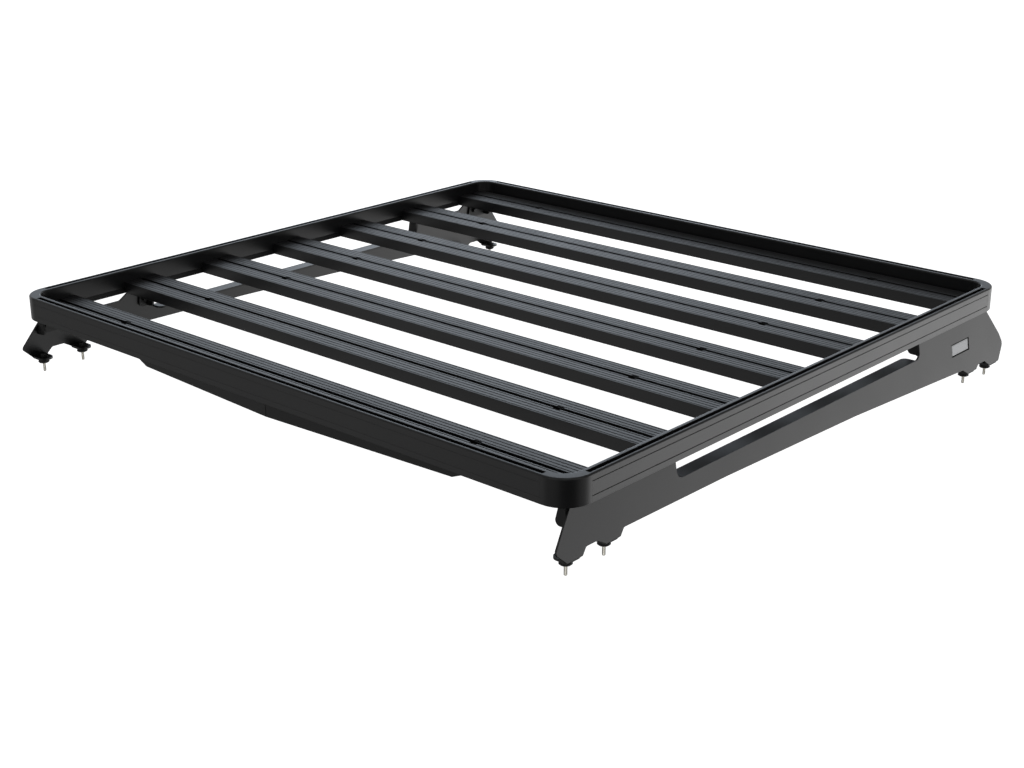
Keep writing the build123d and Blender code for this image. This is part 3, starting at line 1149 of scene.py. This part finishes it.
@dataclass
class Feet:
    """Rubber pads, each with a washer moulded into it, and the studs that bolt to the roof."""

    pad_radius: float = 11.0
    pad_height: float = 9.0
    bore: float = 3.5
    washer_radius: float = 9.4
    washer_height: float = 1.2
    washer_edge: float = 0.3
    tab: float = 4.0
    lip: tuple[Point2, ...] = ((0.9, 0.0), (0.3, 0.25), (0.0, 0.9), (0.0, 1.6), (0.5, 2.2), (0.6, 3.6))
    bead: tuple[Point2, ...] = ((0.6, 2.4), (0.4, 1.5), (0.0, 1.1), (0.0, 0.5), (0.6, 0.0))
    shank_radius: float = 3.1
    shank_rise: float = 0.5
    shank_short: float = 0.2
    thread_lap: float = 0.4
    pad_sides: int = 40
    shank_sides: int = 24
    head: HexHead = HexHead(10.0, 6.0, 6.9)
    thread: Thread = Thread()
    places: tuple[str, ...] = ("front_outer", "front_inner", "rear_inner", "rear_outer")

    def pad(self, place: Matrix) -> Mesh:
        """The rubber, with a lip above and a bead below a shallow waist.

        Args:
            place: frame of the pad's top, with Z up.

        Returns:
            The mesh, in metres.
        """
        r = self.pad_radius
        low = -self.pad_height + self.washer_height
        profile = [(self.bore, 0.0)]
        profile += [(r - inset, -drop) for inset, drop in self.lip]
        profile += [(r - inset, low + rise) for inset, rise in self.bead]
        profile += [(self.bore, low), (self.bore, 0.0)]
        return lathe(profile, place, self.pad_sides)

    def washer(self, place: Matrix) -> Mesh:
        """The washer under the rubber.

        Args:
            place: frame of the pad's top, with Z up.

        Returns:
            The mesh, in metres.
        """
        r = self.washer_radius
        low = -self.pad_height
        high = low + self.washer_height
        profile = [
            (self.bore, high),
            (r, high),
            (r, low + self.washer_edge),
            (r - self.washer_edge, low),
            (self.bore + self.washer_edge, low),
            (self.bore, low + self.washer_edge),
            (self.bore, high),
        ]
        return lathe(profile, place, self.pad_sides)

    def stud(self, place: Matrix, tip: float) -> Mesh:
        """The bolt below its head: plain shank and threaded end.

        Args:
            place: frame of the pad's top, with Z up.
            tip: height of the free end in that frame.

        Returns:
            The mesh, in metres.
        """
        top = self.tab + self.shank_rise
        low = self.shank_short - self.pad_height
        r = self.shank_radius
        shank = lathe([(0, top), (r, top), (r, low), (0, low)], place, self.shank_sides)
        return join([shank, self.thread.build(place, low + self.thread_lap, tip)])

    def build(self, shop: Shop) -> None:
        """Hang the eight feet.

        Args:
            shop: dresses and hangs them.
        """
        for side in Side:
            for word in self.places:
                node = f"{side.word}_{word}"
                low, high = box_mm(f"{node}_pad")
                top = ((low[0] + high[0]) / 2, (low[1] + high[1]) / 2, high[2])
                place = Matrix.Translation(Vector(top))
                tip = box_mm(f"{node}_stud")[0][2] - top[2]
                head = self.head.build(place @ Matrix.Translation((0, 0, self.tab)))
                shop.hang(f"pad_{node}", self.pad(place), "pad_rubber", f"{node}_pad")
                shop.hang(f"washer_{node}", self.washer(place), "stud_steel")
                shop.hang(f"stud_bolt_{node}", self.stud(place, tip), "stud_steel", f"{node}_stud")
                shop.hang(f"stud_head_{node}", head, "bracket_coat")


@dataclass
class BadgePlates:
    """Bare plates in the recesses of the foot rails, with a fine line round a plain field, and
    near-black rims round them as painted shade of the gaps in the recesses.
    """

    length: float = 66.0
    height: float = 21.0
    thickness: float = 1.4
    corner: float = 1.6
    least_corner: float = 0.5
    corner_share: float = 0.5
    bevel: float = 0.35
    bevel_share: float = 0.3
    margin: float = 1.7
    line_width: float = 0.5
    line_slope: float = 0.12
    line_depth: float = 0.18
    # Sizes of the near-black rims that paint the shadow in the recess gaps round the plates.
    gasket: float = 2.3
    gasket_height: float = 0.7
    gasket_edge: float = 0.2
    gasket_lap: float = 0.1
    gasket_clear: float = 0.02

    def outline(self, inset: float) -> list[Point2]:
        """Outline of the plate drawn in by a distance, or out by a negative one."""
        radius = max(self.corner - self.corner_share * inset, self.least_corner)
        return rectangle(self.length / 2 - inset, self.height / 2 - inset, radius)

    def place(self, side: Side) -> Matrix:
        """Frame of a plate's middle, with Z out of the foot rail.

        Args:
            side: left or right.

        Returns:
            The matrix, in millimetres.
        """
        low, high = box_mm("badge_plates")
        out, up = rail_axes(side)
        reach = (self.height * math.sin(RAIL_LEAN) + self.thickness * math.cos(RAIL_LEAN)) / 2
        middle = (side.value * (high[0] - reach), (low[1] + high[1]) / 2, (low[2] + high[2]) / 2)
        return frame_of(middle, up.cross(out), up)

    def stack(self, rows: Sequence[Point2]) -> Mesh:
        """Closed shape on both sides of the rack, through outlines at several levels.

        Args:
            rows: inset and level of each outline.

        Returns:
            The mesh, in metres.
        """
        made = []
        for side in Side:
            place = self.place(side)
            made.append(loft([ring(self.outline(inset), place, level) for inset, level in rows]))
        return join(made)

    def plates(self) -> Mesh:
        """The two plates in their places.

        Returns:
            The mesh, in metres.
        """
        half = self.thickness / 2
        groove = self.margin + self.line_width
        return self.stack([
            (0.0, -half),
            (0.0, half - self.bevel),
            (self.bevel * self.bevel_share, half - self.bevel * self.bevel_share),
            (self.bevel, half),
            (self.margin, half),
            (self.margin + self.line_slope, half - self.line_depth),
            (groove - self.line_slope, half - self.line_depth),
            (groove, half),
        ])

    def painted_shade_rims(self) -> Mesh:
        """Near-black rims that fill the recesses round and under the plates' edges: painted shade in
        place of the shadow in the gaps round the plates.

        Returns:
            The mesh, in metres.
        """
        low = self.gasket_clear - self.thickness / 2
        top = low + self.gasket_height
        return self.stack([
            (-self.gasket, low),
            (-self.gasket, top - self.gasket_edge),
            (self.gasket_edge - self.gasket, top),
            (-self.gasket_edge - self.gasket_lap, top),
            (-self.gasket_lap, top - self.gasket_edge),
            (self.gasket_lap, low),
        ])

    def build(self, shop: Shop) -> None:
        """Hang both plates as one piece, and the painted shade rims round them as another."""
        # The rims take the black rubber finish only to paint the shadow in the recess gaps round the
        # plates.
        shop.hang("badge_painted_shade_rims", self.painted_shade_rims(), "pad_rubber")
        shop.hang("bare_badge_plates", self.plates(), "badge_aluminium", "badge_plates")


@dataclass
class Fastenings:
    """Bolts that hold the brackets and the fairing to the underside of the tray."""

    tray: Tray
    rail_sheet: float = 4.0
    bracket_sheet: float = 4.0
    fairing_sheet: float = 2.5
    head: HexHead = HexHead(13.0, 7.0, 8.6)
    small_head: HexHead = HexHead(10.0, 5.6, 6.6)
    nut: HexHead = HexHead(10.0, 6.2, 6.6)
    brackets: tuple[tuple[str, int, tuple[float, ...]], ...] = (
        ("front_end", 1, (-14.0, 14.0)),
        ("front_slat", 2, (0.0,)),
        ("rear_slat", 6, (0.0,)),
        ("rear_end", 7, (-14.0, 14.0)),
    )
    shelf_bolt_x: float = 659.0
    leg_drop: float = 20.0
    fairing_setbacks: tuple[float, ...] = (18.0, 60.0)

    def tray_bolts(self, side: Side) -> Mesh:
        """Heads under one side's bracket shelves and under the fairing's flange.

        Args:
            side: left or right.

        Returns:
            The mesh, in metres.
        """
        low, high = box_mm(f"{side.word}_fairing")
        end = max(abs(low[0]), abs(high[0]))
        shelf = self.tray.base - self.bracket_sheet
        flange = self.tray.base - self.fairing_sheet
        seats = [(self.head, self.shelf_bolt_x, slat, shelf) for _, slat, _ in self.brackets]
        seats += [(self.small_head, end - setback, 1, flange) for setback in self.fairing_setbacks]
        made = []
        for head, x, slat, z in seats:
            seat = (side.value * x, self.tray.slat_y(slat), z)
            made.append(head.build(frame_of(seat, (1, 0, 0), (0, -1, 0))))
        return join(made)

    def leg_nuts(self, side: Side) -> Mesh:
        """Nuts on the inner faces of one side's bracket legs.

        Args:
            side: left or right.

        Returns:
            The mesh, in metres.
        """
        out, up = rail_axes(side)
        thick = (self.rail_sheet + self.bracket_sheet) / math.cos(RAIL_LEAN)
        face = self.tray.slat_length / 2 - thick + self.leg_drop * math.tan(RAIL_LEAN)
        made = []
        for word, _, shifts in self.brackets:
            low, high = box_mm(f"{side.word}_{word}_bracket")
            for shift in shifts:
                y = (low[1] + high[1]) / 2 + shift
                seat = (side.value * face, y, self.tray.base - self.leg_drop)
                made.append(self.nut.build(frame_of(seat, out.cross(up), up)))
        return join(made)

    def build(self, shop: Shop) -> None:
        """Hang the bolts and nuts of each side.

        Args:
            shop: dresses and hangs them.
        """
        for side in Side:
            shop.hang(f"tray_bolts_{side.word}", self.tray_bolts(side), "stud_steel")
            shop.hang(f"leg_nuts_{side.word}", self.leg_nuts(side), "bracket_coat")


def bearing(azimuth: float, elevation: float) -> Vector:
    """Direction from the rack.

    Args:
        azimuth: degrees from +Y towards +X.
        elevation: degrees up.

    Returns:
        The unit vector.
    """
    a = math.radians(azimuth)
    e = math.radians(elevation)
    return Vector((math.sin(a) * math.cos(e), math.cos(a) * math.cos(e), math.sin(e)))


def looking_back(out: Vector) -> Matrix:
    """Turn of a lamp or a camera that looks against a direction."""
    return (-out).to_track_quat("-Z", "Y").to_matrix().to_4x4()


class Tint(Enum):
    """Colour of a card's light."""

    NEUTRAL = (1.0, 1.0, 1.0)
    COOL = (0.92, 1.01, 1.12)


@dataclass(frozen=True)
class Card:
    """A soft bright patch of the room: its bearing, its spread in degrees, its level and its tint."""

    azimuth: float
    elevation: float
    spread: float
    level: float
    tint: Tint = Tint.NEUTRAL


@dataclass(frozen=True)
class LowLamp:
    """Square lamp low behind the camera for the studs alone, in place of the pale floor they mirror."""

    azimuth: float = 138.0
    elevation: float = -16.0
    distance: float = 3.0
    size: float = 4.0
    watts: float = 90.0

    def build(self, pieces: Iterable[bpy.types.Object]) -> None:
        """Make the lamp and let it light only some pieces.

        Args:
            pieces: the pieces that it lights.
        """
        data = bpy.data.lights.new("low_lamp", "AREA")
        data.shape = "SQUARE"
        data.size = self.size
        data.energy = self.watts
        lamp = bpy.data.objects.new("low_lamp", data)
        bpy.context.scene.collection.objects.link(lamp)
        out = bearing(self.azimuth, self.elevation)
        lamp.matrix_world = Matrix.Translation(out * self.distance) @ looking_back(out)
        lamp.visible_camera = False
        lit = bpy.data.collections.new("lit_by_low_lamp")
        for piece in pieces:
            lit.objects.link(piece)
        lamp.light_linking.receiver_collection = lit


@dataclass
class Studio:
    """Pale floor, soft light and the camera at the photograph's angle."""

    camera_mm: tuple[float, float, float] = (2111.4, -2377.25, 1154.5)
    azimuth: float = 138.101
    elevation: float = 20.088
    roll: float = -0.1
    focal_px: float = 1649.0
    picture_px: float = 1024.0
    sensor_mm: float = 36.0
    near_metres: float = 0.05
    far_metres: float = 200.0
    floor_half: float = 40.0
    floor_drop_mm: float = 0.5
    floor_level: float = 1.0
    room_level: float = 0.006
    cards: tuple[Card, ...] = (
        Card(-40.0, 6.0, 11.0, 2.15, Tint.COOL),
        Card(-60.0, 28.0, 15.0, 0.6, Tint.COOL),
        Card(20.0, -17.0, 11.0, 1.75),
        Card(40.0, -17.0, 11.0, 1.15),
        Card(30.0, -40.0, 15.0, 1.0),
        Card(-140.0, -17.0, 11.0, 0.72),
        Card(-150.0, -40.0, 15.0, 0.12),
        Card(-120.0, 55.0, 23.0, 0.2),
        Card(182.0, -17.0, 9.0, 0.4),
        Card(162.0, -17.0, 7.0, 0.4),
        Card(80.0, -17.0, 9.0, 0.55),
        Card(0.0, -17.0, 12.0, 0.75),
        Card(-45.0, -17.0, 13.0, 0.6),
        Card(-90.0, -17.0, 13.0, 0.6),
        Card(0.0, 14.0, 11.0, 1.2),
        Card(45.0, 9.0, 8.0, 0.45),
        Card(90.0, 14.0, 11.0, 1.2),
        Card(135.0, 14.0, 11.0, 1.2),
        Card(180.0, 14.0, 11.0, 1.1),
        Card(-135.0, 18.0, 11.0, 0.4),
        Card(-90.0, 14.0, 11.0, 1.0),
        Card(60.0, 82.0, 22.0, 0.7),
    )
    low_lamp: LowLamp = LowLamp()

    def camera(self) -> None:
        """Make the camera and give it to the scene."""
        data = bpy.data.cameras.new("camera")
        data.sensor_fit = "HORIZONTAL"
        data.sensor_width = self.sensor_mm
        data.lens = self.focal_px / self.picture_px * self.sensor_mm
        data.clip_start = self.near_metres
        data.clip_end = self.far_metres
        camera = bpy.data.objects.new("camera", data)
        bpy.context.scene.collection.objects.link(camera)
        turn = looking_back(bearing(self.azimuth, self.elevation))
        roll = Matrix.Rotation(math.radians(self.roll), 4, "Z")
        camera.matrix_world = Matrix.Translation(Vector(self.camera_mm) * MM) @ turn @ roll
        bpy.context.scene.camera = camera

    def floor(self) -> None:
        """Make the plain pale floor."""
        half = self.floor_half
        corners = ((-half, -half), (half, -half), (half, half), (-half, half))
        mesh = bpy.data.meshes.new("floor")
        mesh.from_pydata([(x, y, -self.floor_drop_mm * MM) for x, y in corners], [], [(0, 1, 2, 3)])
        floor = bpy.data.objects.new("floor", mesh)
        bpy.context.scene.collection.objects.link(floor)
        paint = NodeBoard(bpy.data.materials.new("floor_paint")).surface({
            "Base Color": (0.5, 0.5, 0.5, 1.0),
            "Roughness": 0.9,
            "Specular IOR Level": 0.0,
            "Emission Color": (1.0, 1.0, 1.0, 1.0),
            "Emission Strength": self.floor_level,
        })
        mesh.materials.append(paint)
        floor.visible_glossy = False
        floor.visible_diffuse = False
        floor.visible_shadow = False

    def sky(self) -> None:
        """Make the light of the room: near darkness and a few soft cards."""
        world = bpy.data.worlds.new("room")
        bpy.context.scene.world = world
        board = NodeBoard(world)
        direction = board.add("ShaderNodeTexCoord", {}, {}, "Generated")
        cosine = {"operation": "DOT_PRODUCT"}
        light: dict[Tint, Any] = {Tint.NEUTRAL: self.room_level}
        for card in self.cards:
            towards = bearing(card.azimuth, card.elevation).normalized()
            inputs = {0: direction, 1: tuple(towards)}
            near = board.add("ShaderNodeVectorMath", cosine, inputs, "Value") - 1.0
            tightness = 1.0 / math.radians(card.spread) ** 2
            glow = card.level * math.e ** (near * tightness)
            light[card.tint] = glow + light.get(card.tint, 0.0)
        room = None
        for tint, level in light.items():
            inputs = {"Color": (*tint.value, 1.0), "Strength": level}
            glow = board.add("ShaderNodeBackground", {}, inputs)
            room = board.add("ShaderNodeAddShader", {}, {0: room, 1: glow}) if room else glow
        board.show("ShaderNodeOutputWorld", room)

    def build(self, shop: Shop) -> None:
        """Set up the whole studio.

        Args:
            shop: knows the pieces that the low lamp lights.
        """
        bpy.context.scene.view_settings.view_transform = "Standard"
        self.camera()
        self.floor()
        self.sky()
        self.low_lamp.build(shop.pieces[name] for name in shop.pieces if name.startswith("stud_bolt"))


def main() -> None:
    """Build the studio and dress every piece of the rack."""
    logging.basicConfig(level=logging.INFO, format="%(name)s %(message)s")
    deep_black = {"dark": (0.003, 0.003, 0.0033), "light": (0.0065, 0.0066, 0.007)}
    shop = Shop([
        PowderCoat("rim_coat"),
        PowderCoat("corner_coat"),
        PowderCoat("slat_coat"),
        PowderCoat("sheet_coat"),
        PowderCoat("fairing_coat", **deep_black, roughness=0.5),
        PowderCoat("bracket_coat", **deep_black, roughness=0.6),
        MouldedRubber("pad_rubber"),
        PlatedSteel("stud_steel"),
        BrushedPlate("badge_aluminium"),
    ])
    tray = Tray()
    frame = (Rim(tray), Corners(tray), Deck(tray))
    for assembly in (*frame, SheetWork(), Feet(), BadgePlates(), Fastenings(tray)):
        assembly.build(shop)
    Studio().build(shop)


if __name__ == "__main__":
    main()
